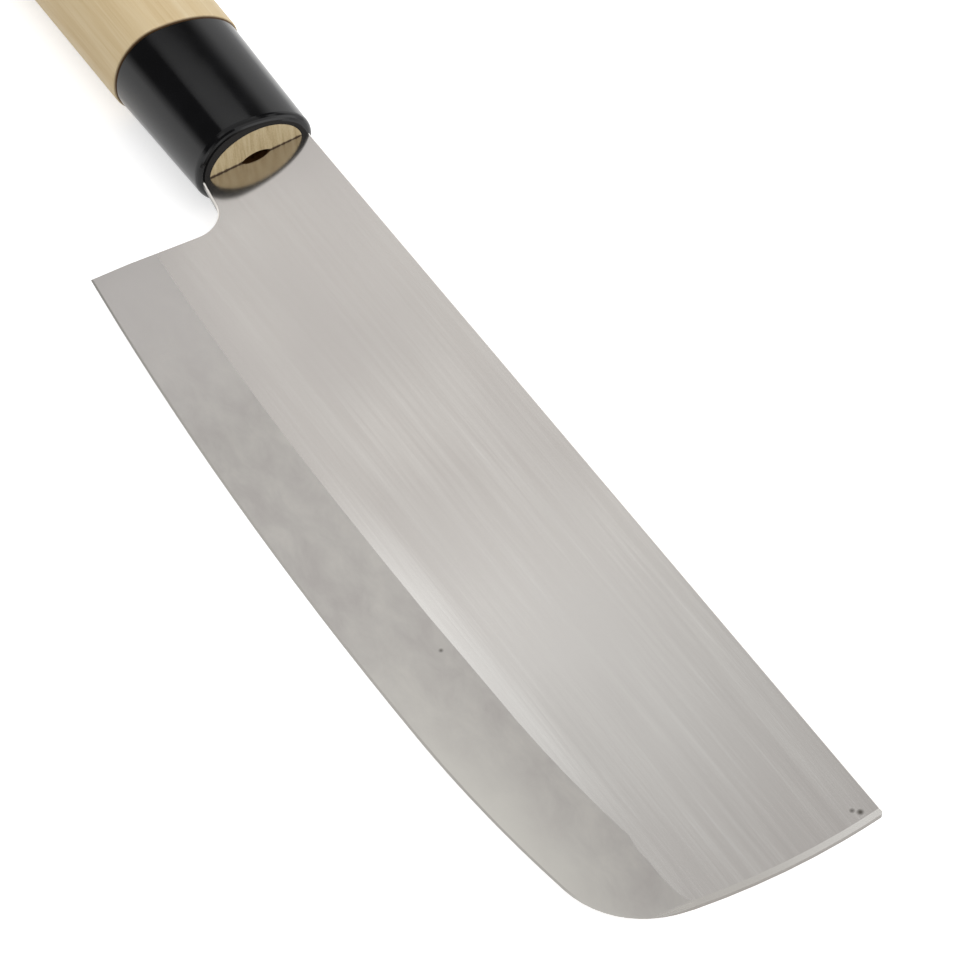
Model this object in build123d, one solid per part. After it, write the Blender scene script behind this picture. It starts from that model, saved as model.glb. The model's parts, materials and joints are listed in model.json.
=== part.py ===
from build123d import *
import math
import os

os.makedirs("parts", exist_ok=True)

# Nakiri knife with a stick tang in a D-shaped wooden handle. Sizes are in millimetres.
# Each piece is drawn on the knife's own axes and laid down at the end:
# X runs along the handle's centre line towards the front of the blade, from the ferrule's front face,
# Y runs up to the spine, and Z runs out of the right-hand side of the blade.

# Blade outline
blade_length = 174.0        # ferrule to the front end
spine_height = 10.8         # spine above the handle's centre line
neck_depth = 11.0           # underside of the neck below the centre line, at the ferrule
neck_corner_x = 11.6        # where the neck's underside would meet the heel line
neck_corner_depth = 12.6
heel_notch_radius = 5.6     # finger notch between neck and heel
heel_x = 8.9                # heel corner of the cutting edge
belly_depth = 41.7          # lowest point of the cutting edge below the centre line
belly_x = 86.0
belly_radius = 880.0        # long curve of the cutting edge
rise_x = 122.0              # from here the edge curves up faster
rise_radius = 257.0
corner_radius = 16.4        # lower front corner
front_radius = 127.0        # slightly bowed front end
front_widest_y = 2.4        # height at which the front end reaches furthest
tip_radius = 0.6            # upper front corner

# Blade thickness and grinds
spine_thickness = 1.7       # at the neck
distal_taper = 0.15         # thickness lost from the neck to the front
flat_taper = 0.30           # thickness lost from the spine to the belly
bevel_width_heel = 12.2     # ground bevel, measured in from the cutting edge
bevel_width_belly = 13.9
bevel_width_rise = 14.2
bevel_width_corner = 13.4
bevel_width_front = 7.6     # where the lower corner runs into the front end
bevel_run_out = 2.6         # the bevel has died away this far up the front end
edge_land = 0.10            # thickness left at the cutting edge
micro_bevel_width = 0.35    # honed edge along the bevel
micro_bevel_thickness = 0.20
rim_width = 0.95            # rounded-over rim of the front end
rim_depth = 0.28
corner_break = 0.25         # eased corners of the spine, the neck, the finger notch and the heel

# Tang
tang_length = 78.0
tang_height = 5.0
tang_end_height = 3.6
tang_end_thickness = 1.3
tang_root_radius = 0.45
tang_nose_radius = 1.2

# Ferrule
ferrule_length = 29.4
ferrule_front_height = 23.7
ferrule_rear_height = 25.4
ferrule_front_right = 9.6   # half thickness on the right, at the ridge
ferrule_rear_right = 10.3
ferrule_front_left = 9.0    # half thickness on the left, a plain oval
ferrule_rear_left = 9.7
ferrule_lip_radius = 1.3
ferrule_rear_radius = 0.3

# Spigot of the handle, inside the ferrule
spigot_height = 19.0
spigot_thickness = 14.2
spigot_clearance = 0.06     # glue line to the ferrule's bore

# Handle
handle_end_x = 125.0        # butt end behind the ferrule's front face
shoulder_height = 26.2
shoulder_right = 10.7
shoulder_left = 10.1
butt_height = 28.0
butt_right = 11.4
butt_left = 10.8
shoulder_round = 0.7
butt_round = 2.2

# Tang slot and the resin in it
slot_height = 6.8
slot_thickness = 3.8
slot_past_tang = 4.0
resin_set_back = 9.0        # open mouth of the slot, in front of the resin

# Shares that shape the D outline
ridge_drop_share = 0.28     # ridge below the centre line, of half the height
nose_share = 0.62           # roundness of the top and bottom of the outline
upper_flank_share = 0.50    # flatness of the right flank above the ridge
lower_flank_share = 0.48
oval_share = 0.5523         # roundness that makes a plain oval

# Share of the way round the lower front corner where the bevel starts to die away
bevel_fade_share = 0.78

overrun = 2.0               # cutting tools reach this far past the metal or wood
round_step_length = 0.42    # straight steps that make up each rounded end
body_bands = 3              # straight bands that make up the tapered stretch between two rounded ends
bevel_overrun = 2.0         # the bevel's tool stays inside the centre of the lower front corner
rim_overrun = 0.8           # reach of a grind's tool past the rim
grind_stations = 9


def polar(centre, radius, angle):
    """Point of the blade's plane at an angle in degrees on a circle."""
    turn = math.radians(angle)
    return Vector(centre.X + radius * math.cos(turn), centre.Y + radius * math.sin(turn))


def direction(start, end):
    """Angle in degrees of the line from one point of the blade's plane to another."""
    return math.degrees(math.atan2(end.Y - start.Y, end.X - start.X))


def circles_meet(centre_a, radius_a, centre_b, radius_b):
    """Lower of the two points that lie on both circles."""
    across = centre_b - centre_a
    apart = across.length
    along = (apart**2 + radius_a**2 - radius_b**2) / (2 * apart)
    aside = math.sqrt(radius_a**2 - along**2)
    unit = across / apart
    normal = Vector(unit.Y, -unit.X)
    points = [centre_a + unit * along + normal * aside, centre_a + unit * along - normal * aside]
    return min(points, key=lambda point: point.Y)


# Centres of the arcs that make the cutting edge and the front end. Each arc meets the next one smoothly.
belly_centre = Vector(belly_x, belly_radius - belly_depth)
rise_angle = -90 + math.degrees(math.asin((rise_x - belly_x) / belly_radius))
rise_start = polar(belly_centre, belly_radius, rise_angle)
rise_centre = polar(rise_start, rise_radius, rise_angle + 180)
front_centre = Vector(blade_length - front_radius, front_widest_y)
corner_centre = circles_meet(
    front_centre, front_radius - corner_radius, rise_centre, rise_radius - corner_radius
)
corner_angle = direction(rise_centre, corner_centre)
front_angle = direction(front_centre, corner_centre)
corner_start = polar(rise_centre, rise_radius, corner_angle)
heel_angle = -90 - math.degrees(math.asin((belly_x - heel_x) / belly_radius))
heel_corner = polar(belly_centre, belly_radius, heel_angle)
tip_rise = spine_height - tip_radius - front_widest_y
tip_angle = math.degrees(math.asin(tip_rise / (front_radius - tip_radius)))
tip_centre = polar(front_centre, front_radius - tip_radius, tip_angle)
bevel_end_angle = front_angle + math.degrees(bevel_run_out / front_radius)


def blade_outline():
    """Flat outline of the whole piece of steel: tang, neck, heel, edge, front end and spine."""
    shoulder_low = Vector(0, -neck_depth)
    shoulder_high = Vector(0, spine_height)
    neck_corner = Vector(neck_corner_x, -neck_corner_depth)
    tang_top = Vector(0, tang_height / 2)
    tang_low = Vector(0, -tang_height / 2)
    tang_end_top = Vector(-tang_length, tang_end_height / 2)
    tang_end_low = Vector(-tang_length, -tang_end_height / 2)
    belly = CenterArc(belly_centre, belly_radius, heel_angle, rise_angle - heel_angle)
    rise = CenterArc(rise_centre, rise_radius, rise_angle, corner_angle - rise_angle)
    corner = CenterArc(corner_centre, corner_radius, corner_angle, front_angle - corner_angle)
    front = CenterArc(front_centre, front_radius, front_angle, tip_angle - front_angle)
    tip = CenterArc(tip_centre, tip_radius, tip_angle, 90 - tip_angle)
    edges = [
        Line(shoulder_low, neck_corner),
        Line(neck_corner, heel_corner),
        belly,
        rise,
        corner,
        front,
        tip,
        Line(Vector(tip_centre.X, spine_height), shoulder_high),
        Line(shoulder_high, tang_top),
        Line(tang_top, tang_end_top),
        Line(tang_end_top, tang_end_low),
        Line(tang_end_low, tang_low),
        Line(tang_low, shoulder_low),
    ]
    face = make_face(Wire(edges))
    face = round_corner(face, neck_corner, heel_notch_radius)
    for root in (tang_top, tang_low):
        face = round_corner(face, root, tang_root_radius)
    for nose in (tang_end_top, tang_end_low):
        face = round_corner(face, nose, tang_nose_radius)
    return face


def round_corner(face, point, radius):
    """Rounds the corner of a flat outline that lies nearest to a point."""
    corner = min(face.vertices(), key=lambda vertex: (Vector(*vertex) - point).length)
    return fillet(corner, radius)


def half_thickness(x, y):
    """Half thickness of the blade's flat at a place on the blade."""
    lost_along = distal_taper / 2 * x / blade_length
    lost_down = flat_taper / 2 * (spine_height - y) / (spine_height + belly_depth)
    return spine_thickness / 2 - lost_along - lost_down


def flat_plane():
    """Plane of the blade's right-hand flat."""
    middle = Vector(0, 0, half_thickness(0, 0))
    ahead = Vector(blade_length, 0, half_thickness(blade_length, 0)) - middle
    up = Vector(0, spine_height, half_thickness(0, spine_height)) - middle
    return Plane(origin=middle, x_dir=ahead, z_dir=ahead.cross(up))


def tang_plane():
    """Plane of the tang's right-hand side, which thins from the shoulders to the tang's end."""
    start = Vector(0, 0, half_thickness(0, 0))
    end = Vector(-tang_length, 0, tang_end_thickness / 2)
    up = Vector(0, spine_height, half_thickness(0, spine_height)) - start
    return Plane(origin=start, x_dir=start - end, z_dir=(start - end).cross(up))


def sheet_side():
    """Right-hand half of the steel sheet, with the front end rounded over and the spine eased."""
    foot = -belly_depth - overrun
    foot_angle = math.degrees(math.asin((foot - front_widest_y) / front_radius))
    head_angle = math.degrees(math.asin((spine_height - front_widest_y) / front_radius))
    tail = -tang_length - overrun
    edges = [
        Line(Vector(tail, foot), polar(front_centre, front_radius, foot_angle)),
        CenterArc(front_centre, front_radius, foot_angle, head_angle - foot_angle),
        Line(polar(front_centre, front_radius, head_angle), Vector(tail, spine_height)),
        Line(Vector(tail, spine_height), Vector(tail, foot)),
    ]
    sheet = extrude(make_face(Wire(edges)), spine_thickness)
    sheet = split(sheet, bisect_by=flat_plane(), keep=Keep.BOTTOM)
    front_rim = polar(front_centre, front_radius, 0) + Vector(0, 0, half_thickness(blade_length, 0))
    flat_face = sheet.faces().sort_by(Axis.Z)[-1]
    sheet = chamfer(nearest_edge(sheet, front_rim), rim_width, rim_depth, reference=flat_face)
    sheet = chamfer(nearest_edge(sheet, Vector(0, spine_height, half_thickness(0, spine_height))), corner_break)
    return split(sheet, bisect_by=tang_plane(), keep=Keep.BOTTOM)


def nearest_edge(solid, point):
    """Edge of a solid that lies nearest to a point."""
    return min(solid.edges(), key=lambda edge: edge.distance_to(point))


def edge_steps(width, flat):
    """Honed edge and bevel, as pairs of distance from the rim and half thickness left."""
    return [(0, edge_land / 2), (micro_bevel_width, micro_bevel_thickness / 2), (width, flat)]


def grind_section(rim, inward, steps, past):
    """Metal that a grind takes off the right-hand side, cut square to the outline at one place."""
    first, second = steps[0], steps[1]
    before, last = steps[-2], steps[-1]
    outer_slope = (second[1] - first[1]) / (second[0] - first[0])
    inner_slope = (last[1] - before[1]) / (last[0] - before[0])
    outer = (-rim_overrun, first[1] - outer_slope * rim_overrun)
    inner = (last[0] + past, last[1] + inner_slope * past)
    profile = [outer, *steps, inner, (last[0] + past, spine_thickness), (-rim_overrun, spine_thickness)]
    points = [rim + inward * distance + Vector(0, 0, half) for distance, half in profile]
    return Wire.make_polygon(points)


def between(low, high, share):
    """Value at a share of the way from one value to another."""
    return low + (high - low) * share


def bevel_width(x):
    """Width of the bevel along the cutting edge, between the widths given at four places."""
    places = [heel_x, belly_x, rise_x, corner_start.X]
    widths = [bevel_width_heel, bevel_width_belly, bevel_width_rise, bevel_width_corner]
    for left, right, low, high in zip(places, places[1:], widths, widths[1:]):
        if x <= right:
            return between(low, high, (x - left) / (right - left))
    return bevel_width_corner


def arc_stations(centre, radius, start, end, count):
    """Places on an arc, each with its direction towards the arc's centre."""
    angles = [between(start, end, step / (count - 1)) for step in range(count)]
    rims = [polar(centre, radius, angle) for angle in angles]
    return [(rim, (centre - rim).normalized()) for rim in rims]


def flat_at(rim, inward, width):
    """Half thickness of the flat at the inner border of a grind."""
    place = rim + inward * width
    return half_thickness(place.X, place.Y)


def edge_section(rim, inward, width):
    """What the honed edge and the bevel take off at one place of the cutting edge."""
    return grind_section(rim, inward, edge_steps(width, flat_at(rim, inward, width)), bevel_overrun)


def bevel_cuts():
    """Metal ground off below the bevel line, from behind the heel to where it dies away up the front."""
    start_angle = heel_angle - math.degrees(overrun / belly_radius)
    belly = arc_stations(belly_centre, belly_radius, start_angle, rise_angle, grind_stations)
    rise = arc_stations(rise_centre, rise_radius, rise_angle, corner_angle, grind_stations)
    long_edge = [edge_section(rim, inward, bevel_width(rim.X)) for rim, inward in belly + rise[1:]]

    # Round the corner the bevel narrows, so that its border runs on nearly straight to the front end
    fade_angle = between(corner_angle, front_angle, bevel_fade_share)
    around = arc_stations(corner_centre, corner_radius, corner_angle, fade_angle, grind_stations)
    corner = []
    for number, (rim, inward) in enumerate(around):
        share = bevel_fade_share * number / (grind_stations - 1)
        width = between(bevel_width_corner, bevel_width_front, share**2)
        corner.append(edge_section(rim, inward, width))

    # From there up to the front end the bevel rises out of the rounded-over rim
    bevel_end = polar(front_centre, front_radius, bevel_end_angle)
    bevel_end_inward = (front_centre - bevel_end).normalized()
    above = flat_at(bevel_end, bevel_end_inward, 0) + edge_land / 2
    last_steps = [(0, above - rim_depth), (rim_width, above), (2 * rim_width, above + rim_depth)]
    run_out = [corner[-1], grind_section(bevel_end, bevel_end_inward, last_steps, bevel_overrun)]
    return [Solid.make_loft(long_edge), Solid.make_loft(corner), Solid.make_loft(run_out, ruled=True)]


def make_blade():
    """Blade, neck and tang in one piece of steel."""
    side = (sheet_side() & extrude(blade_outline(), spine_thickness)).solids()[0]
    neck_rim = Vector(neck_corner_x / 2, -(neck_depth + neck_corner_depth) / 2, spine_thickness / 2)
    side = chamfer(nearest_edge(side, neck_rim), corner_break)
    for cut in bevel_cuts():
        side = side - cut
    return side + mirror(side, Plane.XY)


def d_section(x, half_height, right, left):
    """D outline across the knife: a soft ridge low on the right-hand side, a plain oval on the left."""
    ridge = -ridge_drop_share * half_height
    upper = half_height - ridge
    lower = half_height + ridge
    corners = [(half_height, 0), (ridge, right), (-half_height, 0), (0, -left)]
    handles = [
        [(half_height, right * nose_share), (ridge + upper * upper_flank_share, right)],
        [(ridge - lower * lower_flank_share, right), (-half_height, right * nose_share)],
        [(-half_height, -left * oval_share), (-half_height * oval_share, -left)],
        [(half_height * oval_share, -left), (half_height, -left * oval_share)],
    ]
    edges = []
    for number, (near, far) in enumerate(handles):
        start = corners[number]
        end = corners[(number + 1) % len(corners)]
        edges.append(Bezier(*[(x, y, z) for y, z in (start, near, far, end)]))
    return Wire(edges)


def round_turns(radius):
    """Angles, in radians, between the straight steps that make up a rounded end."""
    steps = max(1, round(radius * math.pi / 2 / round_step_length))
    return [math.pi / 2 * step / steps for step in range(steps + 1)]


def rounded_body(rear_x, front_x, rear_size, front_size, rear_round, front_round):
    """D-shaped body between two places along the knife, tapered and with both ends rounded.

    Each size is the half height and the half thickness on the right and on the left.
    """
    stops = []
    for turn in round_turns(rear_round):
        stops.append((rear_x + rear_round * (1 - math.cos(turn)), rear_round * (1 - math.sin(turn))))
    for band in range(1, body_bands):
        stops.append((between(rear_x + rear_round, front_x - front_round, band / body_bands), 0))
    for turn in round_turns(front_round):
        stops.append((front_x - front_round * (1 - math.sin(turn)), front_round * (1 - math.cos(turn))))
    sections = []
    for x, inset in stops:
        share = (x - rear_x) / (front_x - rear_x)
        size = [between(rear, front, share) - inset for rear, front in zip(rear_size, front_size)]
        sections.append(d_section(x, *size))
    return Solid.make_loft(sections, ruled=True)


def spigot(spread):
    """Oval block that fills the ferrule, grown all round by a spread."""
    across = Plane(origin=(-ferrule_length, 0, 0), x_dir=(0, 1, 0), z_dir=(1, 0, 0))
    outline = across * Ellipse(spigot_height / 2 + spread, spigot_thickness / 2 + spread)
    return extrude(outline, ferrule_length)


def make_ferrule():
    """Moulded collar, open at both ends, with a rounded lip in front."""
    rear = (ferrule_rear_height / 2, ferrule_rear_right, ferrule_rear_left)
    front = (ferrule_front_height / 2, ferrule_front_right, ferrule_front_left)
    body = rounded_body(-ferrule_length, 0, rear, front, ferrule_rear_radius, ferrule_lip_radius)
    return body - spigot(spigot_clearance)


def tang_slot(front_x):
    """Oval slot for the tang, from a distance along the knife to its blind end."""
    across = Plane(origin=(front_x, 0, 0), x_dir=(0, 1, 0), z_dir=(-1, 0, 0))
    outline = across * Ellipse(slot_height / 2, slot_thickness / 2)
    return extrude(outline, tang_length + slot_past_tang + front_x)


def make_handle():
    """Wooden handle with its spigot in one piece."""
    butt = (butt_height / 2, butt_right, butt_left)
    shoulder = (shoulder_height / 2, shoulder_right, shoulder_left)
    grip = rounded_body(-handle_end_x, -ferrule_length, butt, shoulder, butt_round, shoulder_round)
    return grip + spigot(0) - tang_slot(0)


def make_tang_adhesive(blade):
    """Set resin round the tang in the deep part of the slot."""
    return tang_slot(-resin_set_back) - blade


def laid_down(pieces):
    """The knife as it rests on a flat surface, on its cutting edge and the left side of its handle."""
    half_height = butt_height / 2
    roll = math.degrees(math.atan(butt_left / math.sqrt(belly_depth**2 - half_height**2)))
    turned = {name: piece.rotate(Axis.X, roll) for name, piece in pieces.items()}
    box = Compound(children=[Compound(piece.wrapped) for piece in turned.values()]).bounding_box()
    seat = Vector(-box.center().X, -box.center().Y, -box.min.Z)
    return {name: piece.translate(seat) for name, piece in turned.items()}


blade = make_blade()
pieces = {
    "blade": blade,
    "ferrule": make_ferrule(),
    "handle": make_handle(),
    "tang_adhesive": make_tang_adhesive(blade),
}
for name, piece in laid_down(pieces).items():
    export_step(piece, f"parts/{name}.step")
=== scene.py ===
"""Dresses a nakiri knife: brushed steel blade, black moulded ferrule and bare magnolia handle."""

import json
import math

import bpy
from mathutils import Matrix, Vector


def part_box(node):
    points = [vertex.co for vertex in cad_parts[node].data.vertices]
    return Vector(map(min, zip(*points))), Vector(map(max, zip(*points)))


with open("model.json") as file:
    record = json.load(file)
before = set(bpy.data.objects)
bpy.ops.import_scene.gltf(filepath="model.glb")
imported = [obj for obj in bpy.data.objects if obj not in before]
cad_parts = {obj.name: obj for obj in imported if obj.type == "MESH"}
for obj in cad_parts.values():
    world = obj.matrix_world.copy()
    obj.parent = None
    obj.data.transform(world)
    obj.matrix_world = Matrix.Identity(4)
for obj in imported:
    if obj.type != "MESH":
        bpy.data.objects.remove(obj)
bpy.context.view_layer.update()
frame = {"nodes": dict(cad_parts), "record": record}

# The knife lies tilted on its edge and on the left of its handle. Its own axes start on the handle's
# centre line at the ferrule's front face: X to the front, Y to the spine, Z out of the blade's right side.
MM = 0.001
FLAT_LEAN = 0.00286         # the blade's flat leans this much against those axes, from spine to edge
mount_axis = Vector(frame["record"]["mounts"][0]["axis"])
TILT = math.atan2(-mount_axis.y, mount_axis.z) - FLAT_LEAN
resin_low, resin_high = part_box("tang_adhesive")
_, ferrule_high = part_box("ferrule")
KNIFE_ORIGIN = Vector((
    ferrule_high[0],
    (resin_low[1] + resin_high[1]) / 2,
    (resin_low[2] + resin_high[2]) / 2,
))
KNIFE_TURN = Matrix.Rotation(TILT, 3, "X")


def place(x, y, z):
    """Point in the scene for a point in millimetres on the knife's own axes."""
    return KNIFE_ORIGIN + KNIFE_TURN @ Vector((x, y, z)) * MM


def linear(hex_colour):
    """Colour that a shader takes for an sRGB hex value, by the sRGB curve."""
    channels = [int(hex_colour[start:start + 2], 16) / 255 for start in (1, 3, 5)]
    curved = [c / 12.92 if c <= 0.04045 else ((c + 0.055) / 1.055) ** 2.4 for c in channels]
    return (*curved, 1.0)


def new_material(name):
    """Empty node material with its Principled shader."""
    material = bpy.data.materials.new(name)
    material.use_nodes = True
    tree = material.node_tree
    tree.nodes.clear()
    output = tree.nodes.new("ShaderNodeOutputMaterial")
    shader = tree.nodes.new("ShaderNodeBsdfPrincipled")
    tree.links.new(shader.outputs["BSDF"], output.inputs["Surface"])
    return material, tree, shader


def fill(tree, sockets, values):
    """Links each socket that is given an output of a node, and sets it where it is given a plain value."""
    for key, value in values.items():
        if isinstance(value, bpy.types.NodeSocket):
            tree.links.new(value, sockets[key])
        else:
            sockets[key].default_value = value


def add(tree, kind, *values, stops=(), **named):
    """Adds a node and gives back the first of its outputs that is in use.

    Values go to the sockets in use by their order, a capitalised name to the socket of that name, and any
    other name to a setting of the node. Stops are the (position, hex colour) pairs of a colour ramp.
    """
    node = tree.nodes.new("ShaderNode" + kind)
    for name, value in named.items():
        if name.islower():
            setattr(node, name, value)
    in_use = [socket for socket in node.inputs if socket.enabled]
    fill(tree, in_use, dict(enumerate(values)))
    fill(tree, node.inputs, {name: value for name, value in named.items() if not name.islower()})
    if stops:
        elements = node.color_ramp.elements
        while len(elements) < len(stops):
            elements.new(0.5)
        for element, (position, colour) in zip(elements, stops):
            element.position = position
            element.color = linear(colour)
    return next(socket for socket in node.outputs if socket.enabled)


def knife_axes(tree):
    """Place of the surface in millimetres on the knife's own axes."""
    coordinates = tree.nodes.new("ShaderNodeTexCoord").outputs["Object"]
    return add(tree, "Mapping", coordinates, KNIFE_ORIGIN, (TILT, 0, 0), (MM, MM, MM), vector_type="TEXTURE")


def pattern(tree, vector, size, shift=(0, 0, 0), detail=3.0, rough=0.55, warp=0.0):
    """Soft random pattern whose features are so many millimetres long each way."""
    scale = tuple(1 / length for length in size)
    stretched = add(tree, "Mapping", vector, Location=shift, Scale=scale)
    return add(tree, "TexNoise", stretched, Scale=1.0, Detail=detail, Roughness=rough, Distortion=warp)


def face_lean(tree):
    """How far the surface leans away from the blade's flat, as the sine of the angle."""
    normal = tree.nodes.new("ShaderNodeNewGeometry").outputs["True Normal"]
    turned = add(tree, "Mapping", normal, Rotation=(TILT, 0, 0), vector_type="TEXTURE")
    sideways = add(tree, "VectorMath", turned, (1, 1, 0), operation="MULTIPLY")
    return add(tree, "VectorMath", sideways, operation="LENGTH")


def near(tree, knife, spot, radius, soft):
    """One within a radius of a spot, fading to nothing over a soft border."""
    apart = add(tree, "VectorMath", knife, spot, operation="DISTANCE")
    return add(tree, "MapRange", apart, radius + soft, radius)


def between(tree, value, start, end):
    """One between a start and an end, each a pair of the places with nothing and with all."""
    started = add(tree, "MapRange", value, *start)
    return add(tree, "Math", started, add(tree, "MapRange", value, *end), operation="MULTIPLY")


def coat(tree, under, over, *shares):
    """Colour with another one laid over it, as far as all the shares together reach."""
    reach, *others = shares
    for share in others:
        reach = add(tree, "Math", reach, share, operation="MULTIPLY")
    if isinstance(over, str):
        over = linear(over)
    return add(tree, "Mix", reach, under, over, data_type="RGBA")


# A finish rises from nothing at the first number of a pair to its full share at the second. Places and
# sizes are in millimetres on the knife's own axes. A patch is a spot, a radius and a soft border.
NOISE_MIDDLE = 0.5
NOISE_RANGE = (0.3, 0.7)             # nearly all of a noise
CLOUD_RANGE = (0.35, 0.65)           # the same for one without detail
STREAK_RANGE = (0.4, 0.6)            # the same for the belt's marks together

# Forms of the blade, told apart by their lean against the flat, as a sine
BEVEL_LEAN = (0.012, 0.030)
HONED_LEAN = (0.122, 0.132)
RIM_LEAN = (0.16, 0.26)
SIDE_LEAN = (0.8, 0.9)
HONED_STRETCH = (161.0, 158.0)       # the honed edge's tone runs out here, in the rounded corner
BELLY_CENTRE = (86.0, 838.3, 0.0)    # of the cutting edge's long arc
BELLY_RADIUS = 880.0
BEVEL_WIDTH = 13.9                   # at the belly

# Marks of the belt on the flats: share of the whole, size, shift and detail of each kind. The grit's own
# scratches are under 0.1 mm wide, so the finest marks are drawn coarser, as they have to show.
BELT_MARKS = (
    (0.42, (70.0, 1.1, 40.0), (0, 0, 0), 3.0),
    (0.20, (12.0, 0.25, 40.0), (3, 7, 0), 2.0),
    (0.38, (50.0, 4.5, 40.0), (2, 4, 0), 2.0),
)
BELT_NOISE = 0.6
BRUSHED_STRETCH = (40.0, 110.0)      # the brushing grows to its full strength over this
NECK_BRUSHING = 0.18                 # what it has at the neck
FLAT_TONES = ((0.38, "#BFBAB5"), (0.48, "#C9C4BF"), (0.58, "#D8D4CF"), (0.66, "#EAE7E3"))
CLOUD_SIZE = (38.0, 24.0, 40.0)      # wide, faint darker clouds
CLOUD_COLOUR = "#C1BCB8"
CLOUD_SHARE = 0.5
# Painted highlight: the flats are lighter round a spot towards the front
FRONT_HIGHLIGHT = ((134.0, -17.0, 0.8), 12.0, 42.0)
FRONT_HIGHLIGHT_COLOUR = "#E3E0DC"
FRONT_HIGHLIGHT_SHARE = 0.7

# Painted highlight band on the flat beside the bevel's border, and a soft band of painted shade at the heel
HIGHLIGHT_BAND_START = (70.0, 100.0)
HIGHLIGHT_BAND_END = (156.0, 132.0)
HIGHLIGHT_BAND_WIDTH = (6.0, 0.5)              # measured from the border
HIGHLIGHT_BAND_COLOUR = "#F3F1ED"
HIGHLIGHT_BAND_SHARE = 0.6
HIGHLIGHT_BAND_FRAY = -16.0                    # how far the streaks carry its border in and out
HEEL_SHADE_STRETCH = (80.0, 30.0)
HEEL_SHADE_WIDTH = (5.0, 0.0)
HEEL_SHADE_COLOUR = "#BCB7B3"
HEEL_SHADE_SHARE = 0.45

# Stone marks of the bevel, and painted highlights round its lower front corner and at its heel
MOTTLE_SIZE = (9.0, 5.0, 20.0)
BEVEL_TONES = ((0.32, "#C4BFBB"), (0.50, "#CBC7C2"), (0.70, "#D3CFC9"))
CORNER_HIGHLIGHT = ((148.0, -40.0, 0.5), 8.0, 44.0)
CORNER_HIGHLIGHT_COLOUR = "#E9E6DE"
CORNER_HIGHLIGHT_FULL = 1.0              # it has its full strength this near to the cutting edge
CORNER_HIGHLIGHT_NONE = 2.0              # and is gone this near to the bevel's border
HEEL_HIGHLIGHT = ((6.0, -36.0, 0.5), 8.0, 40.0)
HEEL_HIGHLIGHT_COLOUR = "#ECE7E3"
HIGHLIGHT_PATCH_SHARE = 0.9

# Edges of the sheet
HONED_COLOUR = "#CFCBC5"
# Painted highlight: the rim's colour brightens from its lower end to the spine
RIM_HIGHLIGHT_STRETCH = (-38.0, 6.0)           # the rim brightens from its lower end to the spine
RIM_HIGHLIGHT_TONES = ((0.0, "#C9C5BE"), (0.6, "#DAD6D0"), (1.0, "#F2EFEA"))
SIDE_COLOUR = "#8A8681"
RUST_SPOTS = (((171.8, 7.8, 0.6), 0.24), ((170.9, 6.9, 0.6), 0.10), ((110.6, -29.3, 0.7), 0.05))
RUST_SOFT = 0.45
RUST_COLOUR = "#6E6A64"

# Gloss of the steel
BRUSHED_ROUGH = 0.23
NECK_POLISH = -0.07
NECK_STRETCH = (45.0, 12.0)
STREAK_ROUGH = 0.03                  # the streaks are rougher and smoother by this
BEVEL_ROUGH = 0.33
RIM_ROUGH = 0.25
STEEL_ANISOTROPY = 0.6
STREAK_DEPTH = 0.02
STREAK_BUMP = 0.03


def belt_marks(tree, knife, x):
    """Streaks of the belt, stronger towards the front, around the middle of their range."""
    streaks = 0.0
    for share, size, shift, detail in BELT_MARKS:
        marks = pattern(tree, knife, size, shift, detail, BELT_NOISE)
        streaks = add(tree, "Math", marks, share, streaks, operation="MULTIPLY_ADD")
    streaks = add(tree, "Math", streaks, NOISE_MIDDLE, operation="SUBTRACT")
    brushed = add(tree, "MapRange", x, *BRUSHED_STRETCH, NECK_BRUSHING, 1.0)
    return add(tree, "Math", streaks, brushed, NOISE_MIDDLE, operation="MULTIPLY_ADD")


def flat_tones(tree, knife, x, streaks, above_border):
    """Colour of the flats: streaks, clouds, a painted highlight at the front, and beside the bevel's border
    a painted highlight band and painted shade at the heel.
    """
    colour = add(tree, "ValToRGB", streaks, stops=FLAT_TONES)
    clouds = pattern(tree, knife, CLOUD_SIZE, (1, 2, 0), detail=1.0)
    clouded = add(tree, "MapRange", clouds, *CLOUD_RANGE, 0.0, CLOUD_SHARE)
    colour = coat(tree, colour, CLOUD_COLOUR, clouded)
    # painted highlight on the flats towards the front
    colour = coat(tree, colour, FRONT_HIGHLIGHT_COLOUR, near(tree, knife, *FRONT_HIGHLIGHT), FRONT_HIGHLIGHT_SHARE)

    # painted highlight band on the flat beside the bevel's border
    streak = add(tree, "Math", streaks, NOISE_MIDDLE, operation="SUBTRACT")
    frayed = add(tree, "Math", streak, HIGHLIGHT_BAND_FRAY, above_border, operation="MULTIPLY_ADD")
    in_painted_band = add(tree, "MapRange", frayed, *HIGHLIGHT_BAND_WIDTH)
    along = between(tree, x, HIGHLIGHT_BAND_START, HIGHLIGHT_BAND_END)
    colour = coat(tree, colour, HIGHLIGHT_BAND_COLOUR, in_painted_band, along, HIGHLIGHT_BAND_SHARE)

    # painted shade: a soft dark band on the flat beside the border at the heel
    at_heel = add(tree, "MapRange", x, *HEEL_SHADE_STRETCH)
    in_painted_band = add(tree, "MapRange", above_border, *HEEL_SHADE_WIDTH)
    return coat(tree, colour, HEEL_SHADE_COLOUR, in_painted_band, at_heel, HEEL_SHADE_SHARE)


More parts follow.
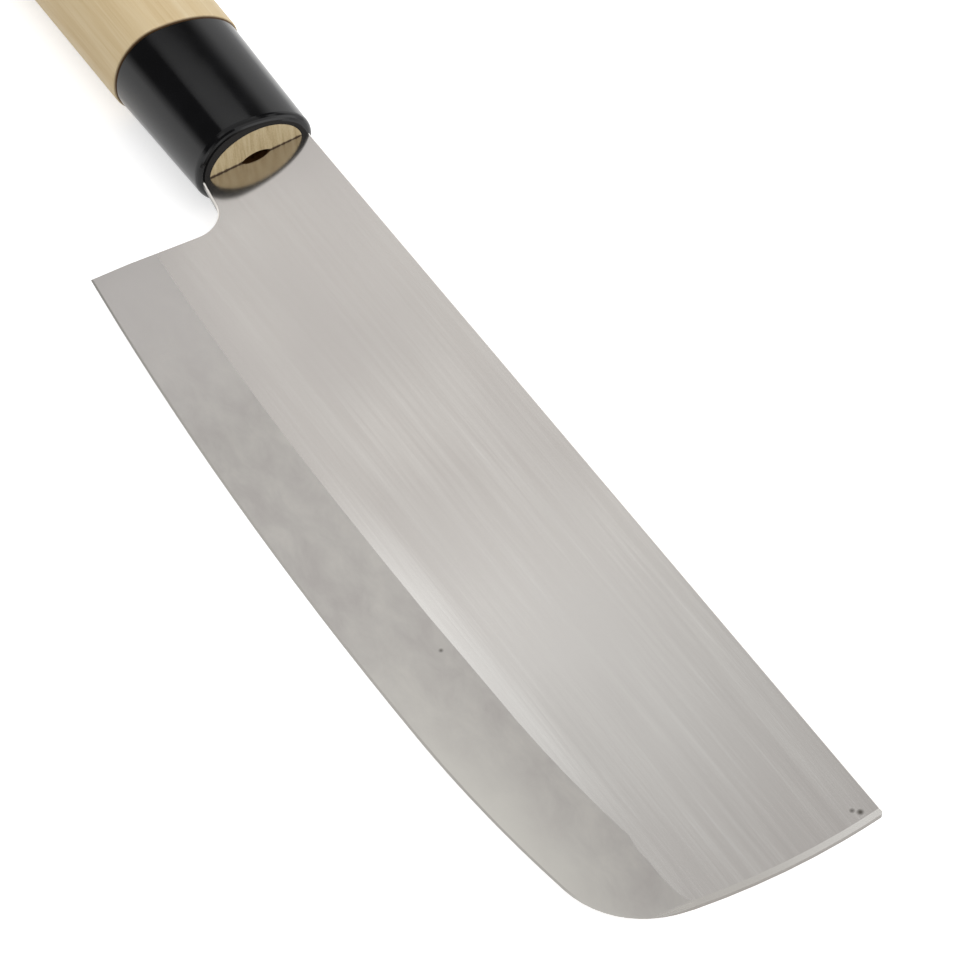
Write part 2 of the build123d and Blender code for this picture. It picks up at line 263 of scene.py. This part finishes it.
def bevel_tones(tree, knife, above_border):
    """Colour of the bevel: stone marks, with painted highlights at the heel and round the lower front
    corner.
    """
    mottle = pattern(tree, knife, MOTTLE_SIZE, (5, 1, 0), detail=4.0, rough=0.65, warp=0.3)
    colour = add(tree, "ValToRGB", mottle, stops=BEVEL_TONES)
    # painted highlights on the bevel, round the lower front corner and at the heel
    inside = add(tree, "MapRange", above_border, -CORNER_HIGHLIGHT_NONE, CORNER_HIGHLIGHT_FULL - BEVEL_WIDTH)
    colour = coat(tree, colour, CORNER_HIGHLIGHT_COLOUR, near(tree, knife, *CORNER_HIGHLIGHT), inside, HIGHLIGHT_PATCH_SHARE)
    return coat(tree, colour, HEEL_HIGHLIGHT_COLOUR, near(tree, knife, *HEEL_HIGHLIGHT), HIGHLIGHT_PATCH_SHARE)


def brushed_stainless():
    """Stainless sheet, belt-brushed along its length, with a stone-ground bevel.

    The brushing shows as long fine streaks, stronger towards the front, and fades at the smoother neck.
    The bevel is duller, a little darker and mottled, with painted highlights at its heel and round its lower
    front corner. The flats carry a painted highlight towards the front and a painted highlight band beside
    the bevel's border, with a band of painted shade at the heel. The rounded-over front end carries a
    painted highlight, brightest at the spine, and three specks of rust stand on the right side.
    """
    material, tree, shader = new_material("stainless_belt_brushed")
    knife = knife_axes(tree)
    x, y, _ = add(tree, "SeparateXYZ", knife).node.outputs
    lean = face_lean(tree)
    on_bevel = add(tree, "MapRange", lean, *BEVEL_LEAN)
    on_rim = add(tree, "MapRange", lean, *RIM_LEAN)
    on_side = add(tree, "MapRange", lean, *SIDE_LEAN)
    honed = add(tree, "MapRange", lean, *HONED_LEAN)
    along_edge = add(tree, "MapRange", x, *HONED_STRETCH)

    in_plane = add(tree, "VectorMath", knife, (1, 1, 0), operation="MULTIPLY")
    from_belly = add(tree, "VectorMath", in_plane, BELLY_CENTRE, operation="DISTANCE")
    above_border = add(tree, "Math", BELLY_RADIUS - BEVEL_WIDTH, from_belly, operation="SUBTRACT")
    streaks = belt_marks(tree, knife, x)
    flats = flat_tones(tree, knife, x, streaks, above_border)
    colour = coat(tree, flats, bevel_tones(tree, knife, above_border), on_bevel)
    colour = coat(tree, colour, HONED_COLOUR, honed, along_edge)
    # painted highlight on the rounded-over rim, brightest towards the spine
    rim_highlight = add(tree, "MapRange", y, *RIM_HIGHLIGHT_STRETCH)
    colour = coat(tree, colour, add(tree, "ValToRGB", rim_highlight, stops=RIM_HIGHLIGHT_TONES), on_rim)
    colour = coat(tree, colour, SIDE_COLOUR, on_side)
    for spot, radius in RUST_SPOTS:
        colour = coat(tree, colour, RUST_COLOUR, near(tree, knife, spot, radius, RUST_SOFT))

    polished = add(tree, "MapRange", x, *NECK_STRETCH)
    rough = add(tree, "Math", polished, NECK_POLISH, BRUSHED_ROUGH, operation="MULTIPLY_ADD")
    uneven = add(tree, "MapRange", streaks, *STREAK_RANGE, -STREAK_ROUGH, STREAK_ROUGH)
    rough = add(tree, "Math", rough, uneven, operation="ADD")
    rough = add(tree, "Mix", on_bevel, rough, BEVEL_ROUGH, data_type="FLOAT")
    rough = add(tree, "Mix", on_rim, rough, RIM_ROUGH, data_type="FLOAT")

    on_flat = add(tree, "Math", 1.0, on_bevel, operation="SUBTRACT")
    height = add(tree, "Math", streaks, on_flat, operation="MULTIPLY")
    across = KNIFE_TURN @ Vector((0, 1, 0))
    fill(tree, shader.inputs, {
        "Base Color": colour,
        "Metallic": 1.0,
        "Roughness": rough,
        "Anisotropic": STEEL_ANISOTROPY,
        "Tangent": add(tree, "CombineXYZ", *across),
        "Normal": add(tree, "Bump", Strength=STREAK_BUMP, Distance=STREAK_DEPTH * MM, Height=height),
    })
    return material


# Ferrule
PLASTIC_TONES = ((0.35, "#060607"), (0.65, "#0A0A0C"))
PLASTIC_CLOUD_SIZE = (9.0, 6.0, 6.0)
PLASTIC_ROUGH = (0.12, 0.18)         # where its cloud is low and where it is high
PLASTIC_IOR = 1.49
PLASTIC_SPECULAR = 0.36              # a little under the usual half, as handled plastic dulls
PLASTIC_WAVE_SIZE = (7.0, 4.0, 4.0)
PLASTIC_WAVE_DEPTH = 0.05
PLASTIC_BUMP = 0.10


def moulded_black_plastic():
    """Black polypropylene moulded in a polished tool: deep black with a soft, slightly wavy gloss."""
    material, tree, shader = new_material("polypropylene_black_gloss")
    knife = knife_axes(tree)
    cloud = pattern(tree, knife, PLASTIC_CLOUD_SIZE, detail=2.0)
    wave = pattern(tree, knife, PLASTIC_WAVE_SIZE, (2, 5, 1), detail=1.0)
    fill(tree, shader.inputs, {
        "Base Color": add(tree, "ValToRGB", cloud, stops=PLASTIC_TONES),
        "Roughness": add(tree, "MapRange", cloud, *NOISE_RANGE, *PLASTIC_ROUGH),
        "IOR": PLASTIC_IOR,
        "Specular IOR Level": PLASTIC_SPECULAR,
        "Normal": add(tree, "Bump", Strength=PLASTIC_BUMP, Distance=PLASTIC_WAVE_DEPTH * MM, Height=wave),
    })
    return material


# Handle: its sides
GRAIN_SIZE = (120.0, 2.4, 7.0)
GRAIN_SHARE = 0.6
FIBRE_SIZE = (16.0, 0.30, 0.35)      # bundles of fibres, as single ones are too fine to show
FIBRE_SHARE = 0.4
SIDE_TONES = ((0.30, "#C7AD80"), (0.47, "#D3BC92"), (0.60, "#DBC7A1"), (0.75, "#E1D1AF"))
WOOD_CLOUD_SIZE = (90.0, 14.0, 14.0)
WOOD_CLOUD_COLOUR = "#D7C39B"
WOOD_CLOUD_SHARE = 0.4

# Its ends, where the fibres are cut across
END_FACING = (0.55, 0.85)            # how squarely a surface faces along X
END_LINE_SIZE = (1.0, 0.8, 9.0)
END_LINE_SHARE = 0.7
PORE_SIZE = (1.0, 0.28, 0.28)        # drawn about three times too coarse, to show
PORE_SHARE = 0.3
END_TONES = ((0.32, "#AF986F"), (0.50, "#CCB88F"), (0.70, "#DFCFAB"))

# Dark places: at the joint behind the ferrule and along the steel, and painted shade in the mouth of the
# slot
JOINT_START = (-29.75, -29.50)
JOINT_END = (-29.0, -29.2)
JOINT_COLOUR = "#5A4126"
STEEL_LINE_HEIGHT = (1.25, 0.95)     # above the middle of the sheet
STEEL_LINE_FRAY = 0.8                # how far the growth lines carry it up and down
STEEL_LINE_DEPTH = (-1.0, -0.5)      # only the front of the wood has it
STEEL_LINE_COLOUR = "#4B3722"
SLOT_SHADE_HALF_WIDTH = 3.57
SLOT_SHADE_HALF_HEIGHT = 2.0
SLOT_SHADE_BORDER = (1.12, 1.0)           # as a share of that oval
SLOT_SHADE_REAR = (-100.0, -99.0)         # the butt stays bare
SLOT_SHADE_FRONT = (0.0, -0.10)
SLOT_SHADE_COLOUR = "#7A5530"

WOOD_ROUGH = (0.62, 0.52)            # where its grain is low and where it is high
WOOD_IOR = 1.45
WOOD_GRAIN_DEPTH = 0.06
WOOD_BUMP = 0.25


def bare_magnolia():
    """Bare magnolia, sanded fine: pale straw colour with soft grain along the handle.

    Across the end the cut fibres are darker, with the growth lines showing as streaks.
    """
    material, tree, shader = new_material("magnolia_sanded_bare")
    knife = knife_axes(tree)
    x, _, z = add(tree, "SeparateXYZ", knife).node.outputs
    grain = pattern(tree, knife, GRAIN_SIZE, detail=4.0, rough=0.6, warp=0.3)
    fibre = pattern(tree, knife, FIBRE_SIZE, (4, 2, 9), detail=3.0, rough=0.65)
    grown = add(tree, "Math", grain, GRAIN_SHARE, operation="MULTIPLY")
    grown = add(tree, "Math", fibre, FIBRE_SHARE, grown, operation="MULTIPLY_ADD")
    clouds = pattern(tree, knife, WOOD_CLOUD_SIZE, (8, 3, 2), detail=1.0)
    clouded = add(tree, "MapRange", clouds, *CLOUD_RANGE, 0.0, WOOD_CLOUD_SHARE)
    side_colour = add(tree, "ValToRGB", grown, stops=SIDE_TONES)
    side_colour = coat(tree, side_colour, WOOD_CLOUD_COLOUR, clouded)

    across = add(tree, "VectorMath", knife, (0, 1, 1), operation="MULTIPLY")
    end_lines = pattern(tree, across, END_LINE_SIZE, (1, 4, 6), detail=4.0, rough=0.65)
    pores = pattern(tree, knife, PORE_SIZE, (3, 3, 3), detail=2.0)
    end_shade = add(tree, "Math", end_lines, END_LINE_SHARE, operation="MULTIPLY")
    end_shade = add(tree, "Math", pores, PORE_SHARE, end_shade, operation="MULTIPLY_ADD")
    end_colour = add(tree, "ValToRGB", end_shade, stops=END_TONES)
    normal = tree.nodes.new("ShaderNodeNewGeometry").outputs["True Normal"]
    along_x = add(tree, "VectorMath", normal, (1, 0, 0), operation="MULTIPLY")
    facing = add(tree, "VectorMath", along_x, operation="LENGTH")
    colour = coat(tree, side_colour, end_colour, add(tree, "MapRange", facing, *END_FACING))

    colour = coat(tree, colour, JOINT_COLOUR, between(tree, x, JOINT_START, JOINT_END))
    above_steel = add(tree, "Math", z, operation="ABSOLUTE")
    line = add(tree, "Math", end_lines, NOISE_MIDDLE, operation="SUBTRACT")
    frayed = add(tree, "Math", line, STEEL_LINE_FRAY, above_steel, operation="MULTIPLY_ADD")
    at_steel = add(tree, "MapRange", frayed, *STEEL_LINE_HEIGHT)
    in_end = add(tree, "MapRange", x, *STEEL_LINE_DEPTH)
    colour = coat(tree, colour, STEEL_LINE_COLOUR, at_steel, in_end)
    # painted shade on the wood in the mouth of the slot
    oval = (0, 1 / SLOT_SHADE_HALF_WIDTH, 1 / SLOT_SHADE_HALF_HEIGHT)
    in_oval = add(tree, "VectorMath", knife, oval, operation="MULTIPLY")
    from_middle = add(tree, "VectorMath", in_oval, operation="LENGTH")
    in_slot_shade = add(tree, "MapRange", from_middle, *SLOT_SHADE_BORDER)
    colour = coat(tree, colour, SLOT_SHADE_COLOUR, in_slot_shade, between(tree, x, SLOT_SHADE_REAR, SLOT_SHADE_FRONT))
    fill(tree, shader.inputs, {
        "Base Color": colour,
        "Roughness": add(tree, "MapRange", grown, *NOISE_RANGE, *WOOD_ROUGH),
        "IOR": WOOD_IOR,
        "Normal": add(tree, "Bump", Strength=WOOD_BUMP, Distance=WOOD_GRAIN_DEPTH * MM, Height=grown),
    })
    return material


# Resin
RESIN_CLOUD_SIZE = (3.0, 2.0, 2.0)
RESIN_TONES = ((0.35, "#2A1B10"), (0.65, "#3A2717"))
RESIN_ROUGH = (0.25, 0.35)           # where its cloud is low and where it is high


def set_resin():
    """Epoxy, poured and set dark brown: smooth and slightly glossy."""
    material, tree, shader = new_material("epoxy_set_brown")
    cloud = pattern(tree, knife_axes(tree), RESIN_CLOUD_SIZE, detail=2.0)
    fill(tree, shader.inputs, {
        "Base Color": add(tree, "ValToRGB", cloud, stops=RESIN_TONES),
        "Roughness": add(tree, "MapRange", cloud, *NOISE_RANGE, *RESIN_ROUGH),
    })
    return material


def dress(node, material):
    """Gives a CAD piece its finish."""
    piece = frame["nodes"][node]
    piece.data.materials.clear()
    piece.data.materials.append(material)


def ray_kinds(tree):
    """Shares of the rays from the camera, from mirrors and clear things, and from dull surfaces."""
    rays = tree.nodes.new("ShaderNodeLightPath").outputs
    mirrored = add(tree, "Math", rays["Is Glossy Ray"], rays["Is Transmission Ray"], operation="ADD")
    return rays["Is Camera Ray"], mirrored, rays["Is Diffuse Ray"]


FLOOR_HALF = 3.0             # half of the floor's side, in metres
FLOOR_COLOUR = "#E4E4E4"
FLOOR_ROUGH = 0.9
FLOOR_GLOW = 0.60            # shows to the camera and in mirrors, on top of the light on the paper


def white_floor():
    """White paper floor that looks white to the camera and in mirrors, with the knife's soft shadow."""
    mesh = bpy.data.meshes.new("paper_floor")
    signs = ((-1, -1), (1, -1), (1, 1), (-1, 1))
    mesh.from_pydata([(x * FLOOR_HALF, y * FLOOR_HALF, 0.0) for x, y in signs], [], [(0, 1, 2, 3)])
    floor = bpy.data.objects.new("paper_floor", mesh)
    bpy.context.scene.collection.objects.link(floor)
    material, tree, shader = new_material("white_paper")
    from_camera, mirrored, _ = ray_kinds(tree)
    seen = add(tree, "Math", from_camera, mirrored, operation="ADD", use_clamp=True)
    fill(tree, shader.inputs, {
        "Base Color": linear(FLOOR_COLOUR),
        "Roughness": FLOOR_ROUGH,
        "Emission Color": (1, 1, 1, 1),
        "Emission Strength": add(tree, "Math", seen, FLOOR_GLOW, operation="MULTIPLY"),
    })
    mesh.materials.append(material)


ROOM_LIGHT = 0.62            # even light of the room on the knife
WALL_TOP = (0.30, 0.48)      # the white wall fades into the dark ceiling over this rise of the view
WALL_TILT = -0.35            # it stands higher on the spine's side than on the edge's
CEILING = 0.11               # share of the wall's white that the ceiling has where it is mirrored


def room():
    """Room with a white wall all round and a dark ceiling, where the camera sees white on every side.

    What the steel and the plastic mirror has the same white wall, with the ceiling above it.
    """
    world = bpy.data.worlds.new("studio_room")
    bpy.context.scene.world = world
    world.use_nodes = True
    tree = world.node_tree
    direction = tree.nodes.new("ShaderNodeTexCoord").outputs["Generated"]
    _, y, z = add(tree, "SeparateXYZ", direction).node.outputs
    rise = add(tree, "Math", y, WALL_TILT, z, operation="MULTIPLY_ADD")
    from_camera, mirrored, from_dull = ray_kinds(tree)
    wall = add(tree, "MapRange", rise, *WALL_TOP, 1.0, CEILING)
    mirrored = add(tree, "Math", mirrored, wall, operation="MULTIPLY")
    seen = add(tree, "Math", from_camera, mirrored, operation="ADD", use_clamp=True)
    fill(tree, tree.nodes["Background"].inputs, {
        "Color": (1, 1, 1, 1),
        "Strength": add(tree, "Math", from_dull, ROOM_LIGHT, seen, operation="MULTIPLY_ADD"),
    })


# Soft boxes, in metres and watts, placed round one spot of the blade
LIT_SPOT = (60.0, -10.0, 0.0)        # in millimetres on the knife's own axes
OVERHEAD_RISE = 1.0
OVERHEAD_BOXES = (
    ("overhead_rear_box", (-0.72, 0.0), (0.40, 0.90), 1.03),
    ("overhead_front_box", (-0.085, 0.0), (0.87, 0.90), 1.42),
    ("overhead_strip_box", (0.14, 0.0), (0.28, 0.90), 0.51),
    ("overhead_edge_box", (0.0, -0.68), (0.90, 0.44), 1.05),
)
KEY_OFFSET = Vector((0.95, 0.95, 0.95))
KEY_SIZE = (1.8, 1.8)
KEY_WATTS = 10.5


def soft_box(name, spot, facing, size, watts):
    """Rectangular studio light at a spot, facing a direction."""
    light = bpy.data.lights.new(name, "AREA")
    light.shape = "RECTANGLE"
    light.size, light.size_y = size
    light.energy = watts
    lamp = bpy.data.objects.new(name, light)
    lamp.location = spot
    lamp.rotation_euler = facing.to_track_quat("-Z", "Y").to_euler()
    bpy.context.scene.collection.objects.link(lamp)


def studio_lights():
    """Soft boxes overhead, which the blade mirrors, and a large one in front on the spine's side."""
    middle = place(*LIT_SPOT)
    for name, (x, y), size, watts in OVERHEAD_BOXES:
        soft_box(name, middle + Vector((x, y, OVERHEAD_RISE)), Vector((0, 0, -1)), size, watts)
    soft_box("front_key_box", middle + KEY_OFFSET, -KEY_OFFSET, KEY_SIZE, KEY_WATTS)


# Camera: place, lens and sensor in millimetres, and its three directions, on the knife's own axes
CAMERA_SPOT = (389.51, -174.10, 436.44)
CAMERA_RIGHT = (0.52999, 0.84692, -0.04289)
CAMERA_DOWN = (0.64919, -0.43776, -0.62202)
CAMERA_AHEAD = (-0.54558, 0.30182, -0.78182)
CAMERA_LENS = 126.69
CAMERA_SENSOR = 36.0
CAMERA_NEAR = 0.01           # metres


def camera():
    """Camera at the photograph's viewing angle."""
    data = bpy.data.cameras.new("photo_camera")
    data.lens = CAMERA_LENS
    data.sensor_width = CAMERA_SENSOR
    data.clip_start = CAMERA_NEAR
    viewer = bpy.data.objects.new("photo_camera", data)
    right = KNIFE_TURN @ Vector(CAMERA_RIGHT)
    up = KNIFE_TURN @ -Vector(CAMERA_DOWN)
    back = KNIFE_TURN @ -Vector(CAMERA_AHEAD)
    turn = Matrix((right, up, back)).transposed().to_4x4()
    viewer.matrix_world = Matrix.Translation(place(*CAMERA_SPOT)) @ turn
    bpy.context.scene.collection.objects.link(viewer)
    bpy.context.scene.camera = viewer


bpy.context.scene.view_settings.view_transform = "Standard"
dress("blade", brushed_stainless())
dress("ferrule", moulded_black_plastic())
dress("handle", bare_magnolia())
dress("tang_adhesive", set_resin())
white_floor()
room()
studio_lights()
camera()
